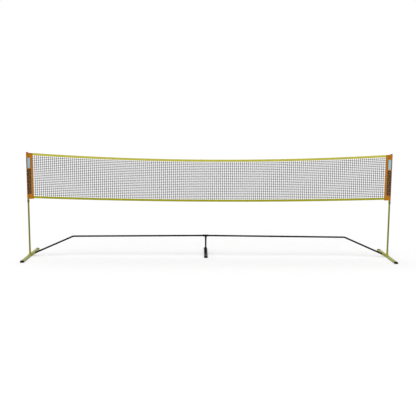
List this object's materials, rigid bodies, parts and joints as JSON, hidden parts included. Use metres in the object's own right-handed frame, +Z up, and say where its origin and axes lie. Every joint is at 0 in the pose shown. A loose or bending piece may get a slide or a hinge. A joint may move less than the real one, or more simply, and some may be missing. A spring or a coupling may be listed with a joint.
{
  "type": "portable net on telescopic posts",
  "caption": "Free-standing sports net: netting with hemmed tapes between two telescopic posts on flat feet, tied by a low tubular base arch leaning back to a centre foot.",
  "frame": {"origin": "on the floor, under the middle of the whole object's box; the net's plane is 45.6 mm in front of it", "axes": "+X along the net from the left post to the right one, +Z up, -Y the court side in front of the net, +Y towards the base arch and its centre foot"},
  "size_m": [5.415, 1.0412, 1.55],
  "materials": {
    "foot": "satin yellow-green powder coat",
    "post": "satin olive-yellow powder coat",
    "frame": "satin black powder coat",
    "cap": "matte black rubber",
    "bush": "black moulded plastic",
    "lock": "olive moulded plastic",
    "sleeve": "woven orange polyester",
    "tape": "woven yellow polyester tape",
    "netting": "knotted dark grey twine",
    "cord": "braided white cord",
    "label": "light blue sewn patch",
    "thread": "sewing thread"
  },
  "bodies": {
    "base": {"foot_left": "foot", "foot_right": "foot", "foot_cap_left_front": "cap", "foot_cap_left_back": "cap", "foot_cap_right_front": "cap", "foot_cap_right_back": "cap", "post_socket_left": "post", "post_socket_right": "post", "arch_socket_left": "foot", "arch_socket_right": "foot", "lower_post_left": "post", "lower_post_right": "post", "guide_bush_left": "bush", "guide_bush_right": "bush", "corner_tube_left": "frame", "corner_tube_right": "frame", "outer_bar_left": "frame", "outer_bar_right": "frame", "inner_bar_left": "frame", "inner_bar_right": "frame", "centre_tee": "frame", "centre_leg": "frame", "centre_socket": "frame", "centre_foot": "frame", "centre_foot_cap_front": "cap", "centre_foot_cap_back": "cap"},
    "mast_left": {"upper_post_left": "post", "post_cap_left": "cap", "clamp_bush_left": "bush", "sleeve_left": "sleeve", "netting": "netting", "top_tape": "tape", "bottom_tape": "tape", "top_cord": "cord", "bottom_cord": "cord", "sleeve_right": "sleeve"},
    "mast_right": {"upper_post_right": "post", "post_cap_right": "cap", "clamp_bush_right": "bush"},
    "lock_ring_left": {"lock_ring_left": "lock"},
    "lock_ring_right": {"lock_ring_right": "lock"}
  },
  "joints": [
    {"name": "height_left", "type": "slide", "parent": "base", "child": "mast_left", "axis": [0, 0, 1], "range_m": [-0.62, 0]},
    {"name": "height_right", "type": "slide", "parent": "base", "child": "mast_right", "axis": [0, 0, 1], "range_m": [-0.62, 0]},
    {"name": "twist_lock_left", "type": "hinge", "parent": "mast_left", "child": "lock_ring_left", "pos_m": [-2.68, -0.0456, 0.8227], "axis": [0, 0, 1], "range_deg": [-90, 0]},
    {"name": "twist_lock_right", "type": "hinge", "parent": "mast_right", "child": "lock_ring_right", "pos_m": [2.68, -0.0456, 0.8227], "axis": [0, 0, 1], "range_deg": [-90, 0]}
  ],
  "couplings": [
    {"joint": "height_right", "follows": "height_left", "ratio": 1}
  ]
}
